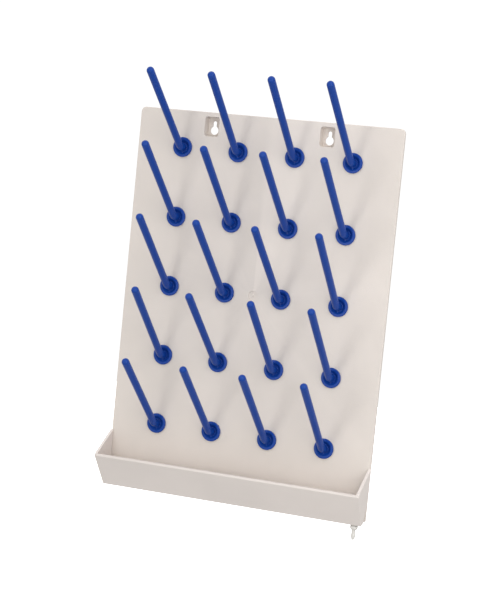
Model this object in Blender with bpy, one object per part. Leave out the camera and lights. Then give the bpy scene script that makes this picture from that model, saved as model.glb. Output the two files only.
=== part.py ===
"""Wall-mounted draining rack: a moulded board with twenty push-in pegs, a hung drip trough and its drain.

Frame: the wall is the plane Y = 0 and the rack faces -Y. X runs to the right along the board and Z runs up.
The origin lies on the wall behind the centre of the peg grid. Units are metres.
"""

from math import asin, atan2, cos, pi, radians, sin, tan

import bmesh
import bpy
from mathutils import Vector

# Clearance that touching pieces keep, and how far a cutter runs past the face that it opens
GAP = 0.0003
CUT_MARGIN = 0.002

# Peg grid
ROWS = 5
COLUMNS = 4
COLUMN_PITCH = 0.086
ROW_PITCH = 0.101

# Board: its sheet and rim are shallow, and the pockets and three round feet stand it off the wall
BOARD_WIDTH = 0.399
BOARD_TOP = 0.2555
BOARD_BOTTOM = -0.297
BOARD_DEPTH = 0.014
SHEET_THICKNESS = 0.0028
RIM_DEPTH = 0.007
RIM_WIDTH = 0.0025
SPINE_WIDTH = 0.003
SIDE_DRAFT = 0.0004
BOARD_CORNER_RADIUS = 0.007
FRONT_EDGE_CHAMFER = 0.0008
FOOT_RADIUS = 0.008
LOWER_FOOT_X = 0.0875
LOWER_FOOT_Z = -0.283
GATE_MARK_RADIUS = 0.007
GATE_MARK_DEPTH = 0.0006

# Keyhole pockets
POCKET_X = 0.0875
POCKET_WIDTH = 0.0215
POCKET_HEIGHT = 0.028
POCKET_MIDDLE_Z = 0.235
POCKET_FLOOR = 0.002
POCKET_WALL = 0.002
POCKET_CORNER_RADIUS = 0.0035
POCKET_DRAFT = 0.0009
KEYHOLE_HEAD_RADIUS = 0.0062
KEYHOLE_SLOT_RADIUS = 0.0029
KEYHOLE_HEAD_Z = 0.2301
KEYHOLE_SLOT_Z = 0.2407

# Peg: flange and plug
FLANGE_RADIUS = 0.0144
FLANGE_THICKNESS = 0.003
FLANGE_EDGE = 0.0007
CUP_MOUTH_RADIUS = 0.0108
CUP_FLOOR_RADIUS = 0.0068
CUP_DEPTH = 0.0044
PLUG_RADIUS = 0.0094
PLUG_LENGTH = 0.009
PLUG_CHAMFER = 0.0008
KEY_WIDTH = 0.003
KEY_HEIGHT = 0.0013
WEB_WIDTH = 0.0018

# Peg: shaft. It leaves the cup along the board's normal, bends once and rises to the tip.
# Reaches are in front of the middle of the flange's thickness, rises are above its centre.
ELBOW_REACH = 0.0086
BEND_RADIUS = 0.014
SHAFT_TIP_RISE = 0.1024
SHAFT_TIP_REACH = 0.1344
SHAFT_FOOT_RADIUS = 0.0051
SHAFT_TIP_RADIUS = 0.0054
SHAFT_ROOT_DEPTH = 0.0028
BEND_STEPS = 3
DOME_STEPS = 2
DOME_END = radians(75)

# The key has play in its notch, so each peg sits turned a little in its hole.
# Degrees, tip to the left positive, row by row from the top.
KEY_PLAY_DEGREES = 3.0
PEG_TURNS_DEGREES = (
    (2.5, 0.0, -0.5, 1.0),
    (1.0, 0.5, 0.5, 0.0),
    (0.0, 1.0, 1.0, -2.0),
    (-2.0, 1.0, -1.5, -2.0),
    (0.5, 0.0, -0.5, -2.0),
)

# Trough. Reaches are in front of the board's face. Above its slope, the front wall ends in an upright lip.
TROUGH_WIDTH = 0.402
TROUGH_FLOOR_WIDTH = 0.397
TROUGH_BOTTOM = -0.3004
TROUGH_SLOPE_TOP = -0.2549
TROUGH_LIP_TOP = -0.2516
TROUGH_BACK_TOP = -0.2593
TROUGH_EAR_TOP = -0.221
TROUGH_LIP_REACH = 0.0503
TROUGH_FLOOR_REACH = 0.016
TROUGH_WALL = 0.0026
TROUGH_REAR_BEND = -0.262
TROUGH_REAR_LEAN = 0.0025
TROUGH_END_WALL = 0.0040
TROUGH_CORNER_RADIUS = 0.003

# Hooks that hang the trough on the board, and the slots that take them
HOOK_ROOT_SHARE = 0.7
HOOK_X = 0.120
HOOK_WIDTH = 0.014
HOOK_NECK_TOP = -0.269
HOOK_NECK_HEIGHT = 0.003
HOOK_TONGUE_DROP = 0.008
HOOK_TONGUE_THICKNESS = 0.0023
TROUGH_LIFT = 0.008

# Drain
DRAIN_X = 0.1873
DRAIN_REACH = 0.0100
DRAIN_BORE_RADIUS = 0.0012
SPIGOT_RADIUS = 0.0035
SPIGOT_HOLE_RADIUS = 0.0038
SPIGOT_LIP_RADIUS = 0.0044
SPIGOT_LIP_HEIGHT = 0.0012
COLLAR_RADIUS = 0.0056
COLLAR_STEP_RADIUS = 0.0038
COLLAR_HEIGHT = 0.0055
COLLAR_TAPER_HEIGHT = 0.0025
SEAL_THICKNESS = 0.0011
SEAL_RADIUS = 0.0050
NOZZLE_RADIUS = 0.0028
NOZZLE_END_RADIUS = 0.0018
BARB_RADIUS = 0.0033
BARB_HEIGHT = 0.0052
BARB_BACK = 0.004
DRAIN_BOTTOM = -0.3218

# Facets
PEG_SEGMENTS = 16
SHAFT_SEGMENTS = 10
DRAIN_SEGMENTS = 16
CORNER_SEGMENTS = 4
SMOOTH_BELOW_DEGREES = 35

FRONT_Y = -BOARD_DEPTH
SHEET_BACK_Y = FRONT_Y + SHEET_THICKNESS
RIM_Y = FRONT_Y + RIM_DEPTH
TROUGH_REAR_Y = FRONT_Y - GAP
DRAIN_Y = FRONT_Y - DRAIN_REACH


def plastic(name, colour, roughness):
    """A Principled material of one moulded plastic."""
    material = bpy.data.materials.new(name)
    material.use_nodes = True
    shader = material.node_tree.nodes["Principled BSDF"]
    shader.inputs["Base Color"].default_value = (*colour, 1.0)
    shader.inputs["Roughness"].default_value = roughness
    return material


def make_object(name, bm, material=None):
    """An object in the scene from a bmesh whose faces are turned outwards."""
    bmesh.ops.recalc_face_normals(bm, faces=bm.faces)
    mesh = bpy.data.meshes.new(name)
    bm.to_mesh(mesh)
    bm.free()
    obj = bpy.data.objects.new(name, mesh)
    bpy.context.scene.collection.objects.link(obj)
    if material:
        mesh.materials.append(material)
    return obj


def add_loft(bm, rings, closed=False):
    """Adds a body through rings of equal point count: capped at its ends, or closed from last to first."""
    loops = [[bm.verts.new(point) for point in ring] for ring in rings]
    count = len(loops[0])
    for lower, upper in zip(loops, loops[1:] + (loops[:1] if closed else [])):
        for i in range(count):
            j = (i + 1) % count
            bm.faces.new((lower[i], lower[j], upper[j], upper[i]))
    if not closed:
        bm.faces.new(loops[0])
        bm.faces.new(loops[-1])


def add_turned(bm, profile, segments, place, closed=False):
    """Adds a body turned about an axis, from (radius, height) points; place maps (a, b, height)."""
    turns = [2 * pi * (i + 0.5) / segments for i in range(segments)]
    add_loft(bm, [[place(r * cos(t), r * sin(t), h) for t in turns] for r, h in profile], closed)


def add_prism(bm, outline, y0, y1):
    """Adds an outline of (x, z) points extruded from y0 to y1."""
    add_loft(bm, [[(x, y, z) for x, z in outline] for y in (y0, y1)])


def add_box(bm, low, high):
    """Adds a box between two corners."""
    (x0, y0, z0), (x1, y1, z1) = low, high
    add_prism(bm, [(x0, z0), (x1, z0), (x1, z1), (x0, z1)], y0, y1)


def arc(middle, radius, start, end, steps):
    """Points round an arc, from one angle to another."""
    angles = [start + (end - start) * i / steps for i in range(steps + 1)]
    return [(middle[0] + radius * cos(angle), middle[1] + radius * sin(angle)) for angle in angles]


def rounded_rectangle(width, height, radius, middle):
    """The (x, z) outline of a rectangle with four round corners."""
    outline = []
    for quarter, (right, above) in enumerate(((1, 1), (-1, 1), (-1, -1), (1, -1))):
        corner = (middle[0] + right * (width / 2 - radius), middle[1] + above * (height / 2 - radius))
        outline += arc(corner, radius, quarter * pi / 2, (quarter + 1) * pi / 2, CORNER_SEGMENTS)
    return outline


def board_outline(inset):
    """The board's (x, z) outline: square lower corners, round upper ones."""
    half = BOARD_WIDTH / 2 - inset
    middle_x = BOARD_WIDTH / 2 - BOARD_CORNER_RADIUS
    middle_z = BOARD_TOP - BOARD_CORNER_RADIUS
    radius = BOARD_CORNER_RADIUS - inset
    return [(-half, BOARD_BOTTOM + inset), (half, BOARD_BOTTOM + inset),
            *arc((middle_x, middle_z), radius, 0.0, pi / 2, CORNER_SEGMENTS),
            *arc((-middle_x, middle_z), radius, pi / 2, pi, CORNER_SEGMENTS)]


def keyed_circle(radius, key_half_width, key_reach, middle):
    """The (x, z) outline of a round hole with a square notch at its foot."""
    turns = [2 * pi * (i + 0.5) / PEG_SEGMENTS - pi / 2 for i in range(PEG_SEGMENTS)]
    outline = [(radius * cos(t), radius * sin(t)) for t in turns]
    outline = [point for point in outline if abs(point[0]) > key_half_width or point[1] > 0]
    foot = -radius * cos(pi / PEG_SEGMENTS)
    notch = [(-key_half_width, foot), (-key_half_width, -key_reach), (key_half_width, -key_reach),
             (key_half_width, foot)]
    return [(middle[0] + x, middle[1] + z) for x, z in outline + notch]


def keyhole_outline(x):
    """The (x, z) outline of a keyhole: a round head hole with a narrower slot above it."""
    meet = asin(KEYHOLE_SLOT_RADIUS / KEYHOLE_HEAD_RADIUS)
    head = arc((x, KEYHOLE_HEAD_Z), KEYHOLE_HEAD_RADIUS, pi / 2 + meet, 5 * pi / 2 - meet,
               3 * CORNER_SEGMENTS)
    slot = arc((x, KEYHOLE_SLOT_Z), KEYHOLE_SLOT_RADIUS, 0.0, pi, 2 * CORNER_SEGMENTS)
    return head + slot


def boolean(obj, other, operation):
    """Cuts or joins other with obj, and hides other as a construction body."""
    modifier = obj.modifiers.new(other.name, "BOOLEAN")
    modifier.operation = operation
    modifier.solver = "EXACT"
    modifier.object = other
    other.hide_render = True
    other.display_type = "WIRE"


def settle(obj):
    """Replaces the object's mesh by what its modifiers make of it, shaded smooth except at its edges."""
    graph = bpy.context.evaluated_depsgraph_get()
    mesh = bpy.data.meshes.new_from_object(obj.evaluated_get(graph))
    mesh.name = obj.name
    obj.modifiers.clear()
    obj.data = mesh
    mesh.shade_smooth()
    mesh.set_sharp_from_angle(angle=radians(SMOOTH_BELOW_DEGREES))


def grid_places():
    """(row, column, x, z) of each peg, row 1 at the top and column 1 at the left."""
    for row in range(ROWS):
        for column in range(COLUMNS):
            x = (column - (COLUMNS - 1) / 2) * COLUMN_PITCH
            z = ((ROWS - 1) / 2 - row) * ROW_PITCH
            yield row + 1, column + 1, x, z


def rear_hollows():
    """Cutter for the hollow behind the sheet: one each side of the spine, inside the rim."""
    corner = BOARD_CORNER_RADIUS - RIM_WIDTH
    outer = BOARD_WIDTH / 2 - RIM_WIDTH
    inner = SPINE_WIDTH / 2
    low = BOARD_BOTTOM + RIM_WIDTH
    high = BOARD_TOP - RIM_WIDTH
    half_outline = [(inner, low), (outer, low),
                    *arc((outer - corner, high - corner), corner, 0.0, pi / 2, CORNER_SEGMENTS),
                    (inner, high)]
    bm = bmesh.new()
    for side in (1, -1):
        add_prism(bm, [(side * x, z) for x, z in half_outline], SHEET_BACK_Y, RIM_Y + CUT_MARGIN)
    return make_object("cut_rear_hollows", bm)


def stand_offs():
    """What reaches the wall: the blocks round the two pockets, and three round feet."""
    bm = bmesh.new()
    start = SHEET_BACK_Y - SHEET_THICKNESS / 2
    half = POCKET_WIDTH / 2 + POCKET_WALL
    low = POCKET_MIDDLE_Z - POCKET_HEIGHT / 2 - POCKET_WALL
    high = BOARD_TOP - RIM_WIDTH / 2
    for side in (1, -1):
        add_box(bm, (side * POCKET_X - half, start, low), (side * POCKET_X + half, 0.0, high))
    for x, z in ((0.0, 0.0), (-LOWER_FOOT_X, LOWER_FOOT_Z), (LOWER_FOOT_X, LOWER_FOOT_Z)):
        add_turned(bm, [(FOOT_RADIUS, start), (FOOT_RADIUS, 0.0)], PEG_SEGMENTS,
                   lambda a, b, h, x=x, z=z: (x + a, h, z + b))
    return make_object("join_stand_offs", bm)


def peg_holes():
    """Cutter for the keyed holes that take the pegs' plugs."""
    bm = bmesh.new()
    key_reach = PLUG_RADIUS + KEY_HEIGHT + GAP
    notch_half = KEY_WIDTH / 2 + GAP + key_reach * sin(radians(KEY_PLAY_DEGREES))
    for _, _, x, z in grid_places():
        outline = keyed_circle(PLUG_RADIUS + GAP, notch_half, key_reach, (x, z))
        add_prism(bm, outline, FRONT_Y - CUT_MARGIN, RIM_Y)
    return make_object("cut_peg_holes", bm)


def front_pockets():
    """Cutter for the two pockets, whose walls are drafted, and for the shallow round gate mark."""
    bm = bmesh.new()
    floor_y = -POCKET_FLOOR
    for side in (1, -1):
        rings = []
        for y, draft in ((floor_y, POCKET_DRAFT), (FRONT_Y, 0.0), (FRONT_Y - CUT_MARGIN, 0.0)):
            outline = rounded_rectangle(POCKET_WIDTH - 2 * draft, POCKET_HEIGHT - 2 * draft,
                                        POCKET_CORNER_RADIUS, (side * POCKET_X, POCKET_MIDDLE_Z))
            rings.append([(x, y, z) for x, z in outline])
        add_loft(bm, rings)
    mark_floor = FRONT_Y + GATE_MARK_DEPTH
    add_turned(bm, [(GATE_MARK_RADIUS - GATE_MARK_DEPTH, mark_floor), (GATE_MARK_RADIUS, FRONT_Y),
                    (GATE_MARK_RADIUS, FRONT_Y - CUT_MARGIN)], PEG_SEGMENTS, lambda a, b, h: (a, h, b))
    return make_object("cut_front_pockets", bm)


def keyholes_and_slots():
    """Cutter for the keyholes in the pocket floors and the slots for the trough's hooks."""
    bm = bmesh.new()
    half = HOOK_WIDTH / 2 + GAP
    slot_low = HOOK_NECK_TOP - HOOK_NECK_HEIGHT - GAP
    slot_high = HOOK_NECK_TOP + TROUGH_LIFT + 2 * GAP
    for side in (1, -1):
        add_prism(bm, keyhole_outline(side * POCKET_X), -POCKET_FLOOR - CUT_MARGIN, CUT_MARGIN)
        add_box(bm, (side * HOOK_X - half, FRONT_Y - CUT_MARGIN, slot_low),
                (side * HOOK_X + half, RIM_Y, slot_high))
    return make_object("cut_keyholes_and_slots", bm)


def back_board(material):
    """The moulded board: a sheet with a rim, a spine, stand-offs, two pockets, peg holes and hook slots."""
    bm = bmesh.new()
    rings = [(FRONT_EDGE_CHAMFER, FRONT_Y), (0.0, FRONT_Y + FRONT_EDGE_CHAMFER), (SIDE_DRAFT, RIM_Y)]
    add_loft(bm, [[(x, y, z) for x, z in board_outline(inset)] for inset, y in rings])
    board = make_object("back_board", bm, material)
    boolean(board, rear_hollows(), "DIFFERENCE")
    boolean(board, stand_offs(), "UNION")
    for cutter in (peg_holes(), front_pockets(), keyholes_and_slots()):
        boolean(board, cutter, "DIFFERENCE")
    settle(board)


def trough_outside(x_lip, x_floor):
    """The trough's outer section points (x, y, z) at one end, from rear bottom round to rear top."""
    lip_y = FRONT_Y - TROUGH_LIP_REACH
    bend_share = (TROUGH_REAR_BEND - TROUGH_BOTTOM) / (TROUGH_SLOPE_TOP - TROUGH_BOTTOM)
    return [(x_floor, TROUGH_REAR_Y - TROUGH_REAR_LEAN, TROUGH_BOTTOM),
            (x_floor, FRONT_Y - TROUGH_FLOOR_REACH, TROUGH_BOTTOM),
            (x_lip, lip_y, TROUGH_SLOPE_TOP), (x_lip, lip_y, TROUGH_LIP_TOP),
            (x_lip, TROUGH_REAR_Y, TROUGH_EAR_TOP),
            (x_floor + (x_lip - x_floor) * bend_share, TROUGH_REAR_Y, TROUGH_REAR_BEND)]


def trough_inside(half_lip, half_floor):
    """Cutter for the gutter, for the space above its lip and for the low back wall between the ears."""
    rear_inner = TROUGH_REAR_Y - TROUGH_WALL
    floor = TROUGH_BOTTOM + TROUGH_WALL
    lean = (TROUGH_LIP_REACH - TROUGH_FLOOR_REACH) / (TROUGH_SLOPE_TOP - TROUGH_BOTTOM)
    wall_along_y = TROUGH_WALL * (1 + lean ** 2) ** 0.5
    front_low = FRONT_Y - TROUGH_FLOOR_REACH - lean * TROUGH_WALL + wall_along_y
    front_high = FRONT_Y - TROUGH_LIP_REACH + TROUGH_WALL
    bend_z = TROUGH_SLOPE_TOP + (wall_along_y - TROUGH_WALL) / lean
    beyond = FRONT_Y - 1.2 * TROUGH_LIP_REACH
    above = TROUGH_EAR_TOP + CUT_MARGIN
    rear_slope = TROUGH_REAR_LEAN / (TROUGH_REAR_BEND - TROUGH_BOTTOM)
    rear_low = rear_inner - TROUGH_REAR_LEAN + rear_slope * TROUGH_WALL
    section = [(rear_low, floor), (front_low, floor), (front_high, bend_z), (front_high, TROUGH_LIP_TOP),
               (beyond, TROUGH_LIP_TOP), (beyond, above), (0.0, above), (0.0, TROUGH_BACK_TOP),
               (rear_inner, TROUGH_BACK_TOP), (rear_inner, TROUGH_REAR_BEND)]
    slope = (half_lip - half_floor) / (TROUGH_SLOPE_TOP - TROUGH_BOTTOM)
    bm = bmesh.new()
    rings = []
    for side in (-1, 1):
        ends = [half_floor - TROUGH_END_WALL + slope * (min(z, TROUGH_SLOPE_TOP) - TROUGH_BOTTOM)
                for _, z in section]
        rings.append([(side * end, y, z) for end, (y, z) in zip(ends, section)])
    add_loft(bm, rings)
    return make_object("cut_trough_inside", bm)


def trough_hooks():
    """The two hooks behind the low back wall: a neck through the board and a tongue behind the sheet."""
    bm = bmesh.new()
    neck_front = TROUGH_REAR_Y - TROUGH_WALL * HOOK_ROOT_SHARE
    tongue_front = SHEET_BACK_Y + GAP
    tongue_back = tongue_front + HOOK_TONGUE_THICKNESS
    neck_low = HOOK_NECK_TOP - HOOK_NECK_HEIGHT
    tongue_low = neck_low - HOOK_TONGUE_DROP
    section = [(neck_front, neck_low), (neck_front, HOOK_NECK_TOP), (tongue_back, HOOK_NECK_TOP),
               (tongue_back, tongue_low), (tongue_front, tongue_low), (tongue_front, neck_low)]
    for side in (1, -1):
        sides = (side * HOOK_X - HOOK_WIDTH / 2, side * HOOK_X + HOOK_WIDTH / 2)
        add_loft(bm, [[(x, y, z) for y, z in section] for x in sides])
    return make_object("join_trough_hooks", bm)


def drain_place(a, b, height):
    """A point of the drain's turned pieces, whose axis is upright."""
    return DRAIN_X + a, DRAIN_Y + b, height


def drain_hole():
    """Cutter for the hole in the trough's floor that takes the drain's spigot."""
    bm = bmesh.new()
    ends = (TROUGH_BOTTOM - CUT_MARGIN, TROUGH_BOTTOM + TROUGH_WALL + CUT_MARGIN)
    add_turned(bm, [(SPIGOT_HOLE_RADIUS, height) for height in ends], DRAIN_SEGMENTS, drain_place)
    return make_object("cut_drain_hole", bm)


def drip_trough(material):
    """The trough: a gutter with a sloping front wall, raised end ears, rear hooks and a drain hole."""
    half_lip = TROUGH_WIDTH / 2
    half_floor = TROUGH_FLOOR_WIDTH / 2
    bm = bmesh.new()
    add_loft(bm, [trough_outside(side * half_lip, side * half_floor) for side in (-1, 1)])
    ends = [edge for edge in bm.edges
            if edge.verts[0].co.x * edge.verts[1].co.x > 0
            and max(v.co.z for v in edge.verts) < TROUGH_EAR_TOP - GAP]
    bmesh.ops.bevel(bm, geom=ends, offset=TROUGH_CORNER_RADIUS, segments=3, profile=0.5, affect="EDGES")
    trough = make_object("drip_trough", bm, material)
    boolean(trough, trough_inside(half_lip, half_floor), "DIFFERENCE")
    boolean(trough, trough_hooks(), "UNION")
    boolean(trough, drain_hole(), "DIFFERENCE")
    settle(trough)
    return trough


def drain_spout(material, parent):
    """The hose nozzle: a spigot through the trough's floor, a collar under it and a barbed nose."""
    collar_top = TROUGH_BOTTOM - SEAL_THICKNESS - 2 * GAP
    collar_low = collar_top - COLLAR_HEIGHT
    lip_low = TROUGH_BOTTOM + TROUGH_WALL + GAP
    top = lip_low + SPIGOT_LIP_HEIGHT
    barb_z = DRAIN_BOTTOM + BARB_HEIGHT
    profile = [(DRAIN_BORE_RADIUS, DRAIN_BOTTOM), (NOZZLE_END_RADIUS, DRAIN_BOTTOM),
               (BARB_RADIUS, barb_z), (NOZZLE_RADIUS, barb_z + BARB_BACK), (NOZZLE_RADIUS, collar_low),
               (COLLAR_STEP_RADIUS, collar_low), (COLLAR_RADIUS, collar_low + COLLAR_TAPER_HEIGHT),
               (COLLAR_RADIUS, collar_top),
               (SPIGOT_RADIUS, collar_top), (SPIGOT_RADIUS, lip_low), (SPIGOT_LIP_RADIUS, lip_low),
               (SPIGOT_RADIUS, top), (DRAIN_BORE_RADIUS, top)]
    bm = bmesh.new()
    add_turned(bm, profile, DRAIN_SEGMENTS, drain_place, closed=True)
    spout = make_object("drain_spout", bm, material)
    spout.data.shade_smooth()
    spout.data.set_sharp_from_angle(angle=radians(SMOOTH_BELOW_DEGREES))
    spout.parent = parent


def drain_seal(material, parent):
    """The soft washer between the collar and the trough's floor."""
    top = TROUGH_BOTTOM - GAP
    low = top - SEAL_THICKNESS
    profile = [(SPIGOT_HOLE_RADIUS, top), (SPIGOT_HOLE_RADIUS, low), (SEAL_RADIUS, low), (SEAL_RADIUS, top)]
    bm = bmesh.new()
    add_turned(bm, profile, DRAIN_SEGMENTS, drain_place, closed=True)
    make_object("drain_seal", bm, material).parent = parent


def peg_mesh(material):
    """One peg in its own frame: the origin is on the board's face at the centre of its hole."""
    front = -GAP - FLANGE_THICKNESS
    profile = [(PLUG_RADIUS - PLUG_CHAMFER, PLUG_LENGTH), (PLUG_RADIUS, PLUG_LENGTH - PLUG_CHAMFER),
               (PLUG_RADIUS, -GAP), (FLANGE_RADIUS - FLANGE_EDGE, -GAP), (FLANGE_RADIUS, -GAP - FLANGE_EDGE),
               (FLANGE_RADIUS, front + FLANGE_EDGE), (FLANGE_RADIUS - FLANGE_EDGE, front),
               (CUP_MOUTH_RADIUS, front), (CUP_FLOOR_RADIUS, front + CUP_DEPTH)]
    bm = bmesh.new()
    add_turned(bm, profile, PEG_SEGMENTS, lambda a, b, h: (a, h, b))
    peg = make_object("peg", bm, material)

    helpers = [peg_shaft(front), peg_key(), peg_web(front)]
    for helper in helpers:
        boolean(peg, helper, "UNION")
    settle(peg)
    mesh = peg.data
    for helper in helpers + [peg]:
        bpy.data.objects.remove(helper)
    return mesh


def peg_shaft(front):
    """The shaft: it stands on the cup's floor, bends up once and ends in a dome."""
    corner = Vector((0.0, front / 2 - ELBOW_REACH, 0.0))
    end = Vector((0.0, front / 2 - SHAFT_TIP_REACH, SHAFT_TIP_RISE))
    slope = atan2(end.z - corner.z, corner.y - end.y)
    tangent = BEND_RADIUS * tan(slope / 2)
    along = Vector((0.0, -cos(slope), sin(slope)))
    turns = [2 * pi * (i + 0.5) / SHAFT_SEGMENTS for i in range(SHAFT_SEGMENTS)]

    def ring(middle, angle, radius):
        """A ring round the path where the path rises by angle from the board's normal."""
        across = Vector((0.0, sin(angle), cos(angle)))
        return [middle + Vector((radius * cos(t), 0.0, 0.0)) + across * radius * sin(t) for t in turns]

    rings = [ring(Vector((0.0, SHAFT_ROOT_DEPTH, 0.0)), 0.0, SHAFT_FOOT_RADIUS)]
    for step in range(BEND_STEPS + 1):
        angle = slope * step / BEND_STEPS
        y = corner.y + tangent - BEND_RADIUS * sin(angle)
        rings.append(ring(Vector((0.0, y, BEND_RADIUS * (1 - cos(angle)))), angle, SHAFT_FOOT_RADIUS))
    shoulder = end - along * SHAFT_TIP_RADIUS
    rings.append(ring(shoulder, slope, SHAFT_TIP_RADIUS))
    for step in range(1, DOME_STEPS + 1):
        angle = DOME_END * step / DOME_STEPS
        middle = shoulder + along * SHAFT_TIP_RADIUS * sin(angle)
        rings.append(ring(middle, slope, SHAFT_TIP_RADIUS * cos(angle)))
    bm = bmesh.new()
    add_loft(bm, rings)
    return make_object("join_shaft", bm)


def peg_key():
    """The rib under the plug that stops the peg from turning in its hole."""
    bm = bmesh.new()
    add_box(bm, (-KEY_WIDTH / 2, -2 * GAP, -PLUG_RADIUS - KEY_HEIGHT),
            (KEY_WIDTH / 2, PLUG_LENGTH - PLUG_CHAMFER, -PLUG_RADIUS + KEY_HEIGHT))
    return make_object("join_key", bm)


def peg_web(front):
    """The thin web under the shaft's foot, across the bottom of the cup."""
    rim = -CUP_MOUTH_RADIUS - 2 * GAP
    plug = -PLUG_RADIUS + 2 * GAP
    top = -SHAFT_FOOT_RADIUS + 3 * GAP
    section = [(front + GAP, top), (front + GAP, rim), (-2 * GAP, rim), (-2 * GAP, plug),
               (SHAFT_ROOT_DEPTH, plug), (SHAFT_ROOT_DEPTH, top)]
    bm = bmesh.new()
    add_loft(bm, [[(x, y, z) for y, z in section] for x in (-WEB_WIDTH / 2, WEB_WIDTH / 2)])
    return make_object("join_web", bm)


def main():
    for obj in list(bpy.data.objects):
        bpy.data.objects.remove(obj, do_unlink=True)
    board_plastic = plastic("board_plastic", (0.70, 0.65, 0.62), 0.45)
    peg_plastic = plastic("peg_plastic", (0.012, 0.055, 0.31), 0.35)
    seal_rubber = plastic("seal_rubber", (0.60, 0.57, 0.53), 0.7)
    back_board(board_plastic)
    trough = drip_trough(board_plastic)
    drain_spout(board_plastic, trough)
    drain_seal(seal_rubber, trough)
    shared_mesh = peg_mesh(peg_plastic)
    for row, column, x, z in grid_places():
        peg = bpy.data.objects.new(f"peg_r{row}_c{column}", shared_mesh)
        peg.location = (x, FRONT_Y, z)
        peg.rotation_euler.y = -radians(PEG_TURNS_DEGREES[row - 1][column - 1])
        bpy.context.scene.collection.objects.link(peg)


main()
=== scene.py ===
"""Looks of the wall-mounted draining rack: detailed pieces, moulded-plastic materials, light and camera.

Each detailed piece stands for one CAD node, in the CAD's frame: the wall is Y = 0, the rack faces -Y and
+Z is up.
"""

from math import atan2, cos, hypot, pi, radians, sin, tan

import bmesh
import bpy
from mathutils import Matrix, Vector


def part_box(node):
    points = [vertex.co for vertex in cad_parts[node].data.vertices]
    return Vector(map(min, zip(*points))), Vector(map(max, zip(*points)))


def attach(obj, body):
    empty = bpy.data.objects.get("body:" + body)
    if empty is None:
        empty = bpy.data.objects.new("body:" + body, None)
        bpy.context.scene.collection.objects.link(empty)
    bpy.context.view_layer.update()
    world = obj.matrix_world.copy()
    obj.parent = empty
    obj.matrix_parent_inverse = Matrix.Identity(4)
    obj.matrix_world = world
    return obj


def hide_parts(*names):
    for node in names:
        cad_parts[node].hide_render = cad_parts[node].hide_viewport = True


# Camera
CAMERA_LENS = 106.0
CAMERA_SENSOR = 36.0
CAMERA_AZIMUTH = 19.87
CAMERA_ELEVATION = 4.20
CAMERA_ROLL = 5.62
CAMERA_DISTANCE = 2.5255
CAMERA_TARGET_X = -0.0028
CAMERA_TARGET_IN_FRONT = 0.0020
CAMERA_TARGET_Z = -0.0059

# Light
KEY_POSITION = (-0.39, -1.70, -0.05)
KEY_SIZE = 0.45
KEY_POWER = 3.8
FILL_POSITION = (0.70, -0.90, 0.60)
FILL_SIZE = 0.6
FILL_POWER = 2.4
SIDE_POSITION = (1.10, -1.30, -0.15)
SIDE_SIZE = 0.9
SIDE_POWER = 5.4
WORLD_BASE = 0.60
WORLD_ABOVE = 0.68
BACKGROUND_WHITE = 1.05
FLOOR_Z = -0.9
FLOOR_RADIUS = 6.0

# Materials
BOARD_COLOUR = (0.72, 0.657, 0.600)
BOARD_ROUGHNESS = 0.45
# The trough's colour is the board's plastic made paler: painted light, to brighten the trough, which gets
# less light than the board.
TROUGH_PAINTED_LIGHT_COLOUR = (0.765, 0.70, 0.655)
PEG_COLOUR = (0.006, 0.051, 0.305)
PEG_ROUGHNESS = 0.32
PEG_SPECULAR = 0.24
PEG_GRAIN_TURN = -0.99
PEG_GRAIN_STRETCH = 14.0
SPOUT_COLOUR = (0.70, 0.68, 0.64)
SPOUT_ROUGHNESS = 0.3
SEAL_COLOUR = (0.60, 0.57, 0.53)
SEAL_ROUGHNESS = 0.7
SEAL_SPECULAR = 0.3
NOISE_LOW = 0.3
NOISE_HIGH = 0.7
DRIFT_SCALE = 9.0
DRIFT_DETAIL = 3.0
DRIFT_CONTRAST = 0.035
GLOSS_SCALE = 60.0
GLOSS_DETAIL = 4.0
GLOSS_CONTRAST = 0.15
TEXTURE_SCALE = 1400.0
TEXTURE_DETAIL = 2.0
TEXTURE_STRENGTH = 0.3
TEXTURE_DEPTH = 0.0002
FLOW_SCALE = 3.0
FLOW_DETAIL = 3.0
FLOW_CONTRAST = 0.02
FLOW_FAN_EDGES = ((-2.0, 3.0), (30.0, 14.0))
FLOW_FAN_GAIN = 1.07

# Clearance between touching pieces, how far a cutter runs past the face that it opens, and the small edges
GAP = 0.0003
CUT_MARGIN = 0.002
EDGE_ROUND = 0.0004
EDGE_SEGMENTS = 3
EDGE_SHARPER_THAN = radians(40)

# Board
SHEET_THICKNESS = 0.0028
RIM_DEPTH = 0.007
RIM_WIDTH = 0.0025
SPINE_WIDTH = 0.003
SIDE_DRAFT = 0.0004
BOARD_CORNER_RADIUS = 0.007
BOARD_FRONT_FILLET = 0.0010
BOARD_REAR_FILLET = 0.0005
FOOT_RADIUS = 0.008
LOWER_FOOT_X = 0.0875
LOWER_FOOT_Z = -0.283
GATE_MARK_RADIUS = 0.007
GATE_MARK_DEPTH = 0.0014
GATE_NIB_RADIUS = 0.0016
EJECTOR_MARK_RADIUS = 0.003
EJECTOR_MARK_DEPTH = 0.0002
EJECTOR_COLUMNS = (-0.172, -0.086, 0.086, 0.172)
EJECTOR_ROWS = (0.1515, 0.0505, -0.0505, -0.1515, -0.2525)

# Keyhole pockets
POCKET_X = 0.0875
POCKET_WIDTH = 0.0215
POCKET_HEIGHT = 0.028
POCKET_MIDDLE_Z = 0.235
POCKET_FLOOR = 0.002
POCKET_WALL = 0.002
POCKET_CORNER_RADIUS = 0.0035
POCKET_DRAFT = 0.0009
POCKET_FLOOR_FILLET = 0.0008
POCKET_MOUTH_FILLET = 0.0006
KEYHOLE_HEAD_RADIUS = 0.0062
KEYHOLE_SLOT_RADIUS = 0.0029
KEYHOLE_HEAD_Z = 0.2301
KEYHOLE_SLOT_Z = 0.2407
KEYHOLE_COLLAR_WIDTH = 0.0012
KEYHOLE_COLLAR_HEIGHT = 0.0007

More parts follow.
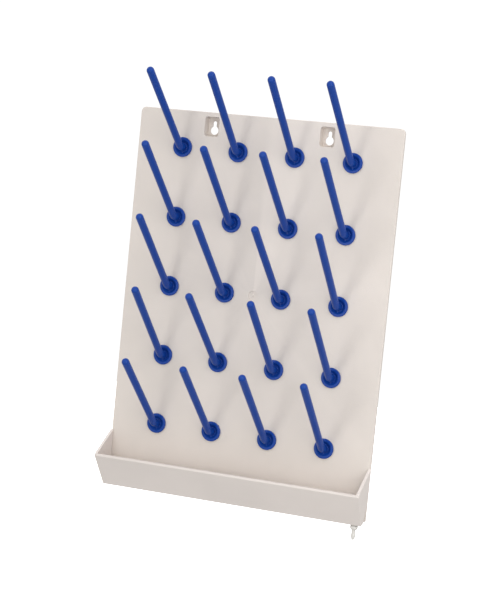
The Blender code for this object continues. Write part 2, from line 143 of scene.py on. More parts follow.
# Peg: flange, cup and plug
FLANGE_RADIUS = 0.0144
FLANGE_THICKNESS = 0.003
CUP_MOUTH_RADIUS = 0.0108
CUP_FLOOR_RADIUS = 0.0068
CUP_DEPTH = 0.0044
ROOT_RADIUS = 0.00495
ROOT_FILLET = 0.0012
PLUG_RADIUS = 0.0094
PLUG_LENGTH = 0.009
PLUG_RECESS_RADIUS = 0.0058
PLUG_RECESS_DEPTH = 0.0012
PLUG_GROOVE_Y = 0.0066
PLUG_GROOVE_DEPTH = 0.0003
FOOT_FILLETS = (0, 0.0003, 0.0008, 0.0002, 0.0002, 0.0002, 0, 0.0006, 0.0009, 0.0007, 0.0006, ROOT_FILLET, 0)
KEY_WIDTH = 0.003
KEY_HEIGHT = 0.0013
WEB_WIDTH = 0.0016
WEB_RECESS = 0.6

# Peg: shaft. Reaches are in front of the middle of the flange's thickness, rises above its centre.
ELBOW_REACH = 0.0086
BEND_RADIUS = 0.014
SHAFT_TIP_RISE = 0.1024
SHAFT_TIP_REACH = 0.1344
SHAFT_FOOT_RADIUS = 0.0051
SHAFT_TIP_RADIUS = 0.0054
SHAFT_ROOT_DEPTH = 0.0028
NUB_SHARE = 0.68
NUB_RADIUS = 0.0011
NUB_PROUD = 0.0005
NUB_END = radians(80)
DOME_END = radians(84)

# Trough. Reaches are in front of the board's face.
TROUGH_FLOOR_WIDTH = 0.397
TROUGH_BOTTOM = -0.3004
TROUGH_SLOPE_TOP = -0.2549
TROUGH_LIP_TOP = -0.2516
TROUGH_BACK_TOP = -0.2593
TROUGH_LIP_REACH = 0.0503
TROUGH_FLOOR_REACH = 0.016
TROUGH_WALL = 0.0026
TROUGH_REAR_BEND = -0.262
TROUGH_REAR_LEAN = 0.0025
TROUGH_END_WALL = 0.0040
TROUGH_END_RADIUS = 0.003
TROUGH_END_SEGMENTS = 6
TROUGH_REAR_RADIUS = 0.004
TROUGH_FRONT_RADIUS = 0.002
TROUGH_INNER_RADIUS = 0.0015
HOOK_ROOT_SHARE = 0.7
HOOK_X = 0.120
HOOK_WIDTH = 0.014
HOOK_NECK_TOP = -0.269
HOOK_NECK_HEIGHT = 0.003
HOOK_TONGUE_DROP = 0.008
HOOK_TONGUE_THICKNESS = 0.0023
HOOK_TRAVEL = 0.008
HOOK_FILLETS = (0, 0, 0.0012, 0.0008, 0.0008, 0)
BACK_GROOVE = 0.0010

# Drain
DRAIN_X = 0.1873
DRAIN_REACH = 0.0100
DRAIN_BORE_RADIUS = 0.0012
SPIGOT_RADIUS = 0.0035
SPIGOT_HOLE_RADIUS = 0.0038
SPIGOT_LIP_RADIUS = 0.0044
SPIGOT_LIP_HEIGHT = 0.0012
COLLAR_RADIUS = 0.0056
COLLAR_STEP_RADIUS = 0.0038
COLLAR_HEIGHT = 0.0055
COLLAR_TAPER_HEIGHT = 0.0025
SEAL_THICKNESS = 0.0011
SEAL_RADIUS = 0.0050
NOZZLE_RADIUS = 0.0028
NOZZLE_END_RADIUS = 0.0018
BARB_RADIUS = 0.0033
BARB_HEIGHT = 0.0052
BARB_BACK = 0.004
SPOUT_FILLETS = (0.0002, 0.0004, 0.0010, 0.0010, 0.0003, 0.0005, 0.0010, 0.0003, 0, 0, 0.0002, 0.0002, 0.0002)
SEAL_FILLETS = (0.0002, 0.0002, 0.0004, 0.0004)

# Facets, and how far the middle of a two-step fillet stands from its ends, as a share of its size
ROUND_SEGMENTS = 48
SHAFT_SEGMENTS = 32
BEND_STEPS = 12
DOME_STEPS = 7
FILLET_STEPS = 4
FILLET_BEND = 0.3
CORNER_STEPS = 8
SMOOTH_BELOW = radians(38)

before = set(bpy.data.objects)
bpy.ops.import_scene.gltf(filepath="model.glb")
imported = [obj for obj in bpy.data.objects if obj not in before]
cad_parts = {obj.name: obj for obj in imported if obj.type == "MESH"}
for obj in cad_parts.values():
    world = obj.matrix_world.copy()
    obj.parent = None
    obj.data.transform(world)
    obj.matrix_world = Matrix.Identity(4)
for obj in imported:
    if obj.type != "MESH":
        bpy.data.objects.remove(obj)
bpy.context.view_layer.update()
BOARD_LOW, BOARD_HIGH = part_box("back_board")
_, TROUGH_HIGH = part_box("drip_trough")
SPOUT_LOW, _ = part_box("drain_spout")
FRONT_Y = BOARD_LOW.y
SHEET_BACK_Y = FRONT_Y + SHEET_THICKNESS
RIM_Y = FRONT_Y + RIM_DEPTH
TROUGH_REAR_Y = FRONT_Y - GAP
DRAIN_Y = FRONT_Y - DRAIN_REACH


# Points and outlines

def arc(middle, radius, start, end, steps):
    """Points round an arc, from one angle to another."""
    angles = [start + (end - start) * i / steps for i in range(steps + 1)]
    return [(middle[0] + radius * cos(angle), middle[1] + radius * sin(angle)) for angle in angles]


def rounded(corners, radii, closed=True, steps=FILLET_STEPS):
    """The outline through the corners, each made an arc of its own radius. A radius of 0 keeps it sharp."""
    outline = []
    count = len(corners)
    for i, (corner, radius) in enumerate(zip(corners, radii)):
        if radius == 0 or (not closed and i in (0, count - 1)):
            outline.append(corner)
            continue
        here = Vector(corner)
        before = (Vector(corners[i - 1]) - here).normalized()
        after = (Vector(corners[(i + 1) % count]) - here).normalized()
        half = before.angle(after) / 2
        middle = here + (before + after).normalized() * radius / sin(half)
        first = here + before * radius / tan(half) - middle
        last = here + after * radius / tan(half) - middle
        start = atan2(first.y, first.x)
        turn = (atan2(last.y, last.x) - start + pi) % (2 * pi) - pi
        outline += arc(middle, radius, start, start + turn, steps)
    return outline


def rectangle(x0, x1, z0, z1, radius, grow=0.0):
    """The (x, z) outline of a rectangle with round corners, grown or shrunk all round."""
    corners = [(x0 - grow, z0 - grow), (x1 + grow, z0 - grow), (x1 + grow, z1 + grow), (x0 - grow, z1 + grow)]
    return rounded(corners, [max(radius + grow, 0.0001)] * 4, steps=CORNER_STEPS)


# Bodies

def add_loft(bm, rings, closed=False):
    """Adds a body through rings of equal point count: capped at its ends, or closed from last to first."""
    loops = [[bm.verts.new(point) for point in ring] for ring in rings]
    count = len(loops[0])
    for lower, upper in zip(loops, loops[1:] + (loops[:1] if closed else [])):
        for i in range(count):
            j = (i + 1) % count
            bm.faces.new((lower[i], lower[j], upper[j], upper[i]))
    if not closed:
        bm.faces.new(loops[0])
        bm.faces.new(loops[-1])


def add_turned(bm, profile, place, closed=False, segments=ROUND_SEGMENTS):
    """Adds a body turned about an axis, from (radius, height) points; place maps (a, b, height)."""
    turns = [2 * pi * (i + 0.5) / segments for i in range(segments)]
    add_loft(bm, [[place(r * cos(t), r * sin(t), h) for t in turns] for r, h in profile], closed)


def add_levels(bm, outline_at, levels):
    """Adds a body through (y, grow) levels, each the outline that outline_at gives for its grow."""
    add_loft(bm, [[(x, y, z) for x, z in outline_at(grow)] for y, grow in levels])


def make_object(name, bm):
    """An object in the scene from a bmesh whose faces are turned outwards."""
    bmesh.ops.recalc_face_normals(bm, faces=bm.faces)
    mesh = bpy.data.meshes.new(name)
    bm.to_mesh(mesh)
    bm.free()
    obj = bpy.data.objects.new(name, mesh)
    bpy.context.scene.collection.objects.link(obj)
    return obj


def apply_modifiers(obj):
    """Replaces the object's mesh by what its modifiers make of it."""
    graph = bpy.context.evaluated_depsgraph_get()
    mesh = bpy.data.meshes.new_from_object(obj.evaluated_get(graph))
    mesh.name = obj.name
    obj.modifiers.clear()
    obj.data = mesh


def combine(obj, steps):
    """Cuts or joins the helper bodies with the object, in order, and removes them."""
    for helper, operation in steps:
        modifier = obj.modifiers.new(helper.name, "BOOLEAN")
        modifier.operation = operation
        modifier.solver = "EXACT"
        modifier.object = helper
    apply_modifiers(obj)
    for helper, _ in steps:
        bpy.data.objects.remove(helper)


def round_edges(obj, width):
    """Rounds the object's sharp edges a little, as a moulding's are."""
    modifier = obj.modifiers.new("edge_round", "BEVEL")
    modifier.width = width
    modifier.segments = EDGE_SEGMENTS
    modifier.limit_method = "ANGLE"
    modifier.angle_limit = EDGE_SHARPER_THAN
    modifier.use_clamp_overlap = True
    apply_modifiers(obj)


def shade(obj):
    """Smooth shading that stays flat on the large faces and sharp at real edges."""
    obj.data.shade_smooth()
    obj.data.set_sharp_from_angle(angle=SMOOTH_BELOW)
    modifier = obj.modifiers.new("flat_faces", "WEIGHTED_NORMAL")
    modifier.keep_sharp = True
    apply_modifiers(obj)


# Board

def board_outline(grow):
    """The board's (x, z) outline: square lower corners, round upper ones."""
    x = BOARD_HIGH.x + grow
    low = BOARD_LOW.z - grow
    high = BOARD_HIGH.z + grow
    radius = BOARD_CORNER_RADIUS + grow
    small = BOARD_FRONT_FILLET + grow + EDGE_ROUND
    return rounded([(-x, low), (x, low), (x, high), (-x, high)], [small, small, radius, radius],
                   steps=CORNER_STEPS)


def board_body():
    """The board's outer body: a fillet round its face, drafted sides and a fillet round its rear rim."""
    bm = bmesh.new()
    front = [(FRONT_Y + BOARD_FRONT_FILLET * (1 - sin(a)), -BOARD_FRONT_FILLET * (1 - cos(a)))
             for a in (pi / 2 * (1 - i / CORNER_STEPS) for i in range(CORNER_STEPS + 1))]
    rear = [(RIM_Y - BOARD_REAR_FILLET * (1 - sin(a)), -SIDE_DRAFT - BOARD_REAR_FILLET * (1 - cos(a)))
            for a in (pi / 2 * i / FILLET_STEPS for i in range(FILLET_STEPS + 1))]
    add_levels(bm, board_outline, front + rear)
    return make_object("board_moulding", bm)


def rear_hollows():
    """Cutter for the hollows behind the sheet, one each side of the spine, with fillets at their floors."""
    bm = bmesh.new()
    fillet = EDGE_ROUND
    levels = [(SHEET_BACK_Y, -fillet), (SHEET_BACK_Y + FILLET_BEND * fillet, -FILLET_BEND * fillet),
              (SHEET_BACK_Y + fillet, 0.0), (RIM_Y + CUT_MARGIN, fillet / 2)]
    for side in (1, -1):
        x0, x1 = sorted((side * SPINE_WIDTH / 2, side * (BOARD_HIGH.x - RIM_WIDTH)))
        z0, z1 = BOARD_LOW.z + RIM_WIDTH, BOARD_HIGH.z - RIM_WIDTH
        add_levels(bm, lambda grow: rectangle(x0, x1, z0, z1, BOARD_CORNER_RADIUS - RIM_WIDTH, grow), levels)
    return make_object("cut_rear_hollows", bm)


def stand_offs():
    """What reaches the wall: the blocks round the two pockets, and three round feet."""
    bm = bmesh.new()
    start = SHEET_BACK_Y - SHEET_THICKNESS / 2
    half = POCKET_WIDTH / 2 + POCKET_WALL
    z0 = POCKET_MIDDLE_Z - POCKET_HEIGHT / 2 - POCKET_WALL
    z1 = BOARD_HIGH.z - RIM_WIDTH / 2
    levels = [(start, 0.0), (-EDGE_ROUND, -EDGE_ROUND / 2), (-EDGE_ROUND / 3, -EDGE_ROUND * 0.7),
              (0.0, -1.5 * EDGE_ROUND)]
    for x in (-POCKET_X, POCKET_X):
        add_levels(bm, lambda grow: rectangle(x - half, x + half, z0, z1, POCKET_CORNER_RADIUS, grow), levels)
    for x, z in ((0.0, 0.0), (-LOWER_FOOT_X, LOWER_FOOT_Z), (LOWER_FOOT_X, LOWER_FOOT_Z)):
        add_turned(bm, [(FOOT_RADIUS + grow, y) for y, grow in levels], lambda a, b, h: (x + a, h, z + b))
    return make_object("join_stand_offs", bm)


def keyed_circle(radius, key_half_width, key_reach, middle):
    """The (x, z) outline of a round hole with a square notch at its foot."""
    notch_angle = atan2(key_half_width, radius)
    circle = arc(middle, radius, -pi / 2 + notch_angle, 3 * pi / 2 - notch_angle, ROUND_SEGMENTS)
    return circle + [(middle[0] - key_half_width, middle[1] - key_reach),
                     (middle[0] + key_half_width, middle[1] - key_reach)]


def peg_holes(places):
    """Cutter for the keyed holes that take the pegs' plugs."""
    bm = bmesh.new()
    key_reach = PLUG_RADIUS + KEY_HEIGHT + GAP
    for x, z in places:
        outline = keyed_circle(PLUG_RADIUS + GAP, KEY_WIDTH / 2 + 3 * GAP, key_reach, (x, z))
        add_loft(bm, [[(px, y, pz) for px, pz in outline] for y in (FRONT_Y - CUT_MARGIN, RIM_Y)])
    return make_object("cut_peg_holes", bm)


def front_pockets():
    """Cutter for the two pockets: fillets at floor and mouth, drafted walls between."""
    bm = bmesh.new()
    floor_y = -POCKET_FLOOR
    angles = [pi / 2 * i / FILLET_STEPS for i in range(FILLET_STEPS + 1)]
    floor_arc = [(floor_y - POCKET_FLOOR_FILLET * (1 - cos(a)),
                  -POCKET_DRAFT - POCKET_FLOOR_FILLET * (1 - sin(a))) for a in angles]
    mouth_arc = [(FRONT_Y + POCKET_MOUTH_FILLET * (1 - sin(a)),
                  POCKET_MOUTH_FILLET * (1 - cos(a))) for a in angles]
    levels = floor_arc + mouth_arc + [(FRONT_Y - CUT_MARGIN, POCKET_MOUTH_FILLET)]
    for x in (-POCKET_X, POCKET_X):
        x0, x1 = x - POCKET_WIDTH / 2, x + POCKET_WIDTH / 2
        z0, z1 = POCKET_MIDDLE_Z - POCKET_HEIGHT / 2, POCKET_MIDDLE_Z + POCKET_HEIGHT / 2
        add_levels(bm, lambda grow: rectangle(x0, x1, z0, z1, POCKET_CORNER_RADIUS, grow), levels)
    return make_object("cut_front_pockets", bm)


def keyhole_outline(x, grow):
    """The (x, z) outline of a keyhole: a round head hole with a narrower slot above it."""
    head = KEYHOLE_HEAD_RADIUS + grow
    slot = KEYHOLE_SLOT_RADIUS + grow
    meet = atan2(slot, (head ** 2 - slot ** 2) ** 0.5)
    return (arc((x, KEYHOLE_HEAD_Z), head, pi / 2 + meet, 5 * pi / 2 - meet, 4 * CORNER_STEPS)
            + arc((x, KEYHOLE_SLOT_Z), slot, 0.0, pi, 2 * CORNER_STEPS))


def keyhole_collars():
    """The low raised edge round each keyhole, on the pocket's floor."""
    bm = bmesh.new()
    top = -POCKET_FLOOR - KEYHOLE_COLLAR_HEIGHT
    levels = [(-POCKET_FLOOR / 2, KEYHOLE_COLLAR_WIDTH), (top + GAP, KEYHOLE_COLLAR_WIDTH),
              (top, KEYHOLE_COLLAR_WIDTH - GAP)]
    for x in (-POCKET_X, POCKET_X):
        add_levels(bm, lambda grow: keyhole_outline(x, grow), levels)
    return make_object("join_keyhole_collars", bm)


def keyholes_and_slots():
    """Cutter for the keyholes in the pocket floors and the slots for the trough's hooks."""
    bm = bmesh.new()
    half = HOOK_WIDTH / 2 + GAP
    z0 = HOOK_NECK_TOP - HOOK_NECK_HEIGHT - GAP
    z1 = HOOK_NECK_TOP + HOOK_TRAVEL + 2 * GAP
    for side in (1, -1):
        add_levels(bm, lambda grow: keyhole_outline(side * POCKET_X, grow),
                   [(-POCKET_FLOOR - CUT_MARGIN, 0.0), (CUT_MARGIN, 0.0)])
        add_levels(bm, lambda grow: rectangle(side * HOOK_X - half, side * HOOK_X + half, z0, z1, GAP, grow),
                   [(FRONT_Y - CUT_MARGIN, 0.0), (RIM_Y, 0.0)])
    return make_object("cut_keyholes_and_slots", bm)


def gate_mark():
    """Cutter for the shallow round mark at the middle of the face, with a small nib left standing in it."""
    bm = bmesh.new()
    floor = FRONT_Y + GATE_MARK_DEPTH
    nib = GATE_NIB_RADIUS
    profile = [(nib / 8, FRONT_Y + GATE_MARK_DEPTH / 8), (nib / 2, FRONT_Y + GATE_MARK_DEPTH / 6),
               (nib, FRONT_Y + GATE_MARK_DEPTH / 2), (1.2 * nib, floor),
               (GATE_MARK_RADIUS - GATE_MARK_DEPTH / 3, floor), (GATE_MARK_RADIUS, FRONT_Y),
               (GATE_MARK_RADIUS, FRONT_Y - CUT_MARGIN)]
    add_turned(bm, profile, lambda a, b, h: (a, h, b))
    return make_object("cut_gate_mark", bm)


def ejector_marks():
    """Cutter for the shallow round ejector marks on the sheet's back."""
    bm = bmesh.new()
    for x in EJECTOR_COLUMNS:
        for z in EJECTOR_ROWS:
            add_turned(bm, [(EJECTOR_MARK_RADIUS, SHEET_BACK_Y - EJECTOR_MARK_DEPTH),
                            (EJECTOR_MARK_RADIUS, SHEET_BACK_Y + CUT_MARGIN)],
                       lambda a, b, h: (x + a, h, z + b), segments=SHAFT_SEGMENTS)
    return make_object("cut_ejector_marks", bm)


def make_board(places, material):
    """The moulded board, which stands for back_board."""
    board = board_body()
    combine(board, [(rear_hollows(), "DIFFERENCE"), (stand_offs(), "UNION"),
                    (peg_holes(places), "DIFFERENCE"), (front_pockets(), "DIFFERENCE"),
                    (keyhole_collars(), "UNION"),
                    (keyholes_and_slots(), "DIFFERENCE"), (gate_mark(), "DIFFERENCE"),
                    (ejector_marks(), "DIFFERENCE")])
    shade(board)
    finish_piece(board, material, "board", "back_board")


# Trough and drain

def trough_section(x_lip, x_floor):
    """The trough's outer section at one end, from rear bottom round to rear top."""
    lip_y = FRONT_Y - TROUGH_LIP_REACH
    corners = [(TROUGH_REAR_Y - TROUGH_REAR_LEAN, TROUGH_BOTTOM),
               (FRONT_Y - TROUGH_FLOOR_REACH, TROUGH_BOTTOM), (lip_y, TROUGH_SLOPE_TOP),
               (lip_y, TROUGH_LIP_TOP), (TROUGH_REAR_Y, TROUGH_HIGH.z), (TROUGH_REAR_Y, TROUGH_REAR_BEND)]
    radii = [TROUGH_REAR_RADIUS, TROUGH_FRONT_RADIUS, EDGE_ROUND, 0, 0, 0]
    height = TROUGH_SLOPE_TOP - TROUGH_BOTTOM
    section = []
    for y, z in rounded(corners, radii):
        share = min(1.0, (z - TROUGH_BOTTOM) / height)
        section.append((x_floor + (x_lip - x_floor) * share, y, z))
    return section


def trough_body():
    """The trough's outer body, with round ends."""
    bm = bmesh.new()
    half_floor = TROUGH_FLOOR_WIDTH / 2
    add_loft(bm, [trough_section(side * TROUGH_HIGH.x, side * half_floor) for side in (-1, 1)])
    ends = [edge for edge in bm.edges
            if edge.verts[0].co.x * edge.verts[1].co.x > 0
            and max(v.co.z for v in edge.verts) < TROUGH_LIP_TOP + GAP]
    bmesh.ops.bevel(bm, geom=ends, offset=TROUGH_END_RADIUS, segments=TROUGH_END_SEGMENTS, profile=0.5,
                    affect="EDGES")
    return make_object("trough_moulding", bm)


def trough_inside():
    """Cutter for the gutter, for the space above its lip and for the low back wall between the ears."""
    rear_inner = TROUGH_REAR_Y - TROUGH_WALL
    floor = TROUGH_BOTTOM + TROUGH_WALL
    lean = (TROUGH_LIP_REACH - TROUGH_FLOOR_REACH) / (TROUGH_SLOPE_TOP - TROUGH_BOTTOM)
    wall_along_y = TROUGH_WALL * hypot(1.0, lean)
    front_low = FRONT_Y - TROUGH_FLOOR_REACH - lean * TROUGH_WALL + wall_along_y
    front_high = FRONT_Y - TROUGH_LIP_REACH + TROUGH_WALL
    bend_z = TROUGH_SLOPE_TOP + (wall_along_y - TROUGH_WALL) / lean
    beyond = FRONT_Y - 1.2 * TROUGH_LIP_REACH
    above = TROUGH_HIGH.z + CUT_MARGIN
    rear_slope = TROUGH_REAR_LEAN / (TROUGH_REAR_BEND - TROUGH_BOTTOM)
    rear_low = rear_inner - TROUGH_REAR_LEAN + rear_slope * TROUGH_WALL
    groove = TROUGH_BACK_TOP - BACK_GROOVE
    corners = [(rear_low, floor), (front_low, floor), (front_high, bend_z), (front_high, TROUGH_LIP_TOP),
               (beyond, TROUGH_LIP_TOP), (beyond, above), (0.0, above), (0.0, groove),
               (TROUGH_REAR_Y, groove), (TROUGH_REAR_Y - BACK_GROOVE, TROUGH_BACK_TOP),
               (rear_inner, TROUGH_BACK_TOP),
               (rear_inner, TROUGH_REAR_BEND)]
    radii = [TROUGH_INNER_RADIUS, TROUGH_INNER_RADIUS, EDGE_ROUND]
    radii += [0] * (len(corners) - len(radii))
    slope = (TROUGH_HIGH.x - TROUGH_FLOOR_WIDTH / 2) / (TROUGH_SLOPE_TOP - TROUGH_BOTTOM)
    section = rounded(corners, radii)
    bm = bmesh.new()
    rings = []
    for side in (-1, 1):
        half = TROUGH_FLOOR_WIDTH / 2 - TROUGH_END_WALL
        ends = [half + slope * (min(z, TROUGH_SLOPE_TOP) - TROUGH_BOTTOM) for _, z in section]
        rings.append([(side * end, y, z) for end, (y, z) in zip(ends, section)])
    add_loft(bm, rings)
    return make_object("cut_trough_inside", bm)


def trough_hooks():
    """The two hooks behind the low back wall: a neck through the board and a tongue behind the sheet."""
    bm = bmesh.new()
    neck_front = TROUGH_REAR_Y - TROUGH_WALL * HOOK_ROOT_SHARE
    tongue_front = SHEET_BACK_Y + GAP
    tongue_back = tongue_front + HOOK_TONGUE_THICKNESS
    neck_low = HOOK_NECK_TOP - HOOK_NECK_HEIGHT
    tongue_low = neck_low - HOOK_TONGUE_DROP
    corners = [(neck_front, neck_low), (neck_front, HOOK_NECK_TOP), (tongue_back, HOOK_NECK_TOP),
               (tongue_back, tongue_low), (tongue_front, tongue_low), (tongue_front, neck_low)]
    section = rounded(corners, HOOK_FILLETS)
    for side in (1, -1):
        sides = (side * HOOK_X - HOOK_WIDTH / 2, side * HOOK_X + HOOK_WIDTH / 2)
        add_loft(bm, [[(x, y, z) for y, z in section] for x in sides])
    return make_object("join_trough_hooks", bm)


def drain_place(a, b, height):
    """A point of the drain's turned pieces, whose axis is upright."""
    return DRAIN_X + a, DRAIN_Y + b, height


def drain_hole():
    """Cutter for the hole in the trough's floor that takes the drain's spigot."""
    bm = bmesh.new()
    ends = (TROUGH_BOTTOM - CUT_MARGIN, TROUGH_BOTTOM + TROUGH_WALL + CUT_MARGIN)
    add_turned(bm, [(SPIGOT_HOLE_RADIUS, height) for height in ends], drain_place)
    return make_object("cut_drain_hole", bm)


def make_trough(material):
    """The trough, which stands for drip_trough."""
    trough = trough_body()
    combine(trough, [(trough_inside(), "DIFFERENCE"), (trough_hooks(), "UNION"),
                     (drain_hole(), "DIFFERENCE")])
    round_edges(trough, EDGE_ROUND)
    shade(trough)
    finish_piece(trough, material, "trough", "drip_trough")


def make_spout(material):
    """The hose nozzle, which stands for drain_spout."""
    collar_top = TROUGH_BOTTOM - SEAL_THICKNESS - 2 * GAP
    collar_low = collar_top - COLLAR_HEIGHT
    lip_low = TROUGH_BOTTOM + TROUGH_WALL + GAP
    top = lip_low + SPIGOT_LIP_HEIGHT
    bottom = SPOUT_LOW.z
    barb_z = bottom + BARB_HEIGHT
    corners = [(DRAIN_BORE_RADIUS, bottom), (NOZZLE_END_RADIUS, bottom), (BARB_RADIUS, barb_z),
               (NOZZLE_RADIUS, barb_z + BARB_BACK), (NOZZLE_RADIUS, collar_low),
               (COLLAR_STEP_RADIUS, collar_low), (COLLAR_RADIUS, collar_low + COLLAR_TAPER_HEIGHT),
               (COLLAR_RADIUS, collar_top),
               (SPIGOT_RADIUS, collar_top), (SPIGOT_RADIUS, lip_low), (SPIGOT_LIP_RADIUS, lip_low),
               (SPIGOT_RADIUS, top), (DRAIN_BORE_RADIUS, top)]
    bm = bmesh.new()
    add_turned(bm, rounded(corners, SPOUT_FILLETS), drain_place, closed=True)
    spout = make_object("spout_moulding", bm)
    shade(spout)
    finish_piece(spout, material, "trough", "drain_spout")


def make_seal(material):
    """The soft washer between the collar and the trough's floor, which stands for drain_seal."""
    top = TROUGH_BOTTOM - GAP
    low = top - SEAL_THICKNESS
    corners = [(SPIGOT_HOLE_RADIUS, top), (SPIGOT_HOLE_RADIUS, low), (SEAL_RADIUS, low), (SEAL_RADIUS, top)]
    bm = bmesh.new()
    add_turned(bm, rounded(corners, SEAL_FILLETS), drain_place, closed=True)
    seal = make_object("seal_washer", bm)
    shade(seal)
    finish_piece(seal, material, "trough", "drain_seal")


# Pegs, in their own frame: the origin is on the board's face at the centre of the hole

def peg_foot(front):
    """The peg's flange, cup and plug, turned about the hole's axis. The cup's floor rises to the shaft."""
    cup_floor = front + CUP_DEPTH
    groove = PLUG_RADIUS - PLUG_GROOVE_DEPTH
    corners = [(PLUG_RECESS_RADIUS, PLUG_LENGTH - PLUG_RECESS_DEPTH), (PLUG_RECESS_RADIUS, PLUG_LENGTH),
               (PLUG_RADIUS, PLUG_LENGTH), (PLUG_RADIUS, PLUG_GROOVE_Y + PLUG_GROOVE_DEPTH),
               (groove, PLUG_GROOVE_Y), (PLUG_RADIUS, PLUG_GROOVE_Y - PLUG_GROOVE_DEPTH), (PLUG_RADIUS, -GAP),
               (FLANGE_RADIUS, -GAP), (FLANGE_RADIUS, front), (CUP_MOUTH_RADIUS, front),
               (CUP_FLOOR_RADIUS, cup_floor), (ROOT_RADIUS, cup_floor),
               (ROOT_RADIUS, cup_floor - 2 * ROOT_FILLET)]
    bm = bmesh.new()
    add_turned(bm, rounded(corners, FOOT_FILLETS, closed=False), lambda a, b, h: (a, h, b))
    return make_object("peg", bm)


def peg_shaft(front):
    """The shaft, which stands on the cup's floor, bends up once and ends in a dome, and its side nub."""
    corner = Vector((0.0, front / 2 - ELBOW_REACH, 0.0))
    end = Vector((0.0, front / 2 - SHAFT_TIP_REACH, SHAFT_TIP_RISE))
    slope = atan2(end.z - corner.z, corner.y - end.y)
    tangent = BEND_RADIUS * tan(slope / 2)
    along = Vector((0.0, -cos(slope), sin(slope)))
    turns = [2 * pi * (i + 0.5) / SHAFT_SEGMENTS for i in range(SHAFT_SEGMENTS)]

    def ring(middle, angle, radius):
        """A ring round the path where the path rises by angle from the board's normal."""
        across = Vector((0.0, sin(angle), cos(angle)))
        return [middle + Vector((radius * cos(t), 0.0, 0.0)) + across * radius * sin(t) for t in turns]

    rings = [ring(Vector((0.0, SHAFT_ROOT_DEPTH, 0.0)), 0.0, SHAFT_FOOT_RADIUS)]
    for step in range(BEND_STEPS + 1):
        angle = slope * step / BEND_STEPS
        y = corner.y + tangent - BEND_RADIUS * sin(angle)
        rings.append(ring(Vector((0.0, y, BEND_RADIUS * (1 - cos(angle)))), angle, SHAFT_FOOT_RADIUS))
    shoulder = end - along * SHAFT_TIP_RADIUS
    for step in range(DOME_STEPS + 1):
        angle = DOME_END * step / DOME_STEPS
        middle = shoulder + along * SHAFT_TIP_RADIUS * sin(angle)
        rings.append(ring(middle, slope, SHAFT_TIP_RADIUS * cos(angle)))
    bm = bmesh.new()
    add_loft(bm, rings)
    shaft = make_object("join_shaft", bm)

    nub_middle = corner.lerp(end, NUB_SHARE) + Vector((SHAFT_TIP_RADIUS + NUB_PROUD - NUB_RADIUS, 0.0, 0.0))
    profile = arc((0.0, 0.0), NUB_RADIUS, -NUB_END, NUB_END, 2 * FILLET_STEPS)
    bm = bmesh.new()
    add_turned(bm, profile, lambda a, b, h: nub_middle + Vector((a, b, h)), segments=SHAFT_SEGMENTS // 2)
    return [shaft, make_object("join_nub", bm)]


def peg_key():
    """The rib under the plug that stops the peg from turning in its hole."""
    bm = bmesh.new()
    low = -PLUG_RADIUS - KEY_HEIGHT
    high = -PLUG_RADIUS + KEY_HEIGHT
    add_levels(bm, lambda grow: rectangle(-KEY_WIDTH / 2, KEY_WIDTH / 2, low, high, GAP, grow),
               [(-GAP, 0.0), (PLUG_LENGTH - 5 * GAP, 0.0), (PLUG_LENGTH - 4 * GAP, -GAP / 2)])
    return make_object("join_key", bm)


def peg_web(front):
    """The thin web under the shaft's foot, across the bottom of the cup."""
    rim = -CUP_MOUTH_RADIUS - 2 * GAP
    plug = -PLUG_RADIUS + 2 * GAP
    top = -SHAFT_FOOT_RADIUS + 3 * GAP
    web_front = front + CUP_DEPTH * WEB_RECESS
    section = [(web_front, top), (web_front, rim), (-2 * GAP, rim), (-2 * GAP, plug),
               (SHAFT_ROOT_DEPTH, plug), (SHAFT_ROOT_DEPTH, top)]
    bm = bmesh.new()
    add_loft(bm, [[(x, y, z) for y, z in section] for x in (-WEB_WIDTH / 2, WEB_WIDTH / 2)])
    return make_object("join_web", bm)


def peg_mesh(material):
    """The mesh that all pegs share."""
    front = -GAP - FLANGE_THICKNESS
    peg = peg_foot(front)
    helpers = [*peg_shaft(front), peg_key(), peg_web(front)]
    combine(peg, [(helper, "UNION") for helper in helpers])
    shade(peg)
    mesh = peg.data
    mesh.materials.clear()
    mesh.materials.append(material)
    bpy.data.objects.remove(peg)
    return mesh


def peg_place(node):
    """Where a CAD peg is: the (x, z) centre of its hole, and its turn in the hole, read from its own mesh."""
    points = [vertex.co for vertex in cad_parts[node].data.vertices]
    rear = max(point.y for point in points)
    plug_end = [point for point in points if point.y > rear - GAP / 2]
    x = (min(p.x for p in plug_end) + max(p.x for p in plug_end)) / 2
    z = (min(p.z for p in plug_end) + max(p.z for p in plug_end)) / 2
    tip = min(points, key=lambda point: point.y)
    return x, z, atan2(tip.x - x, tip.z - z)


def make_pegs(nodes, material):
    """The twenty pegs, each of which stands for its CAD node and rides on its own body."""
    mesh = peg_mesh(material)
    for node in nodes:
        x, z, turn = peg_place(node)
        peg = bpy.data.objects.new(f"{node}_moulding", mesh)
        peg.location = (x, FRONT_Y, z)
        peg.rotation_euler.y = turn
        bpy.context.scene.collection.objects.link(peg)
        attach(peg, node)
        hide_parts(node)


def finish_piece(obj, material, body, node):
    """Gives a piece its material, puts it on its CAD body and hides the CAD node that it stands for."""
    obj.data.materials.clear()
    obj.data.materials.append(material)
    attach(obj, body)
    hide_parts(node)


# Materials

def add_noise(nodes, links, vector, scale, detail, low, high):
    """A noise texture whose value runs from low to high. Returns its output."""
    noise = nodes.new("ShaderNodeTexNoise")
    noise.inputs["Scale"].default_value = scale
    noise.inputs["Detail"].default_value = detail
    links.new(vector, noise.inputs["Vector"])
    spread = nodes.new("ShaderNodeMapRange")
    spread.inputs["From Min"].default_value = NOISE_LOW
    spread.inputs["From Max"].default_value = NOISE_HIGH
    spread.inputs["To Min"].default_value = low
    spread.inputs["To Max"].default_value = high
    links.new(noise.outputs["Fac"], spread.inputs["Value"])
    return spread.outputs["Result"]


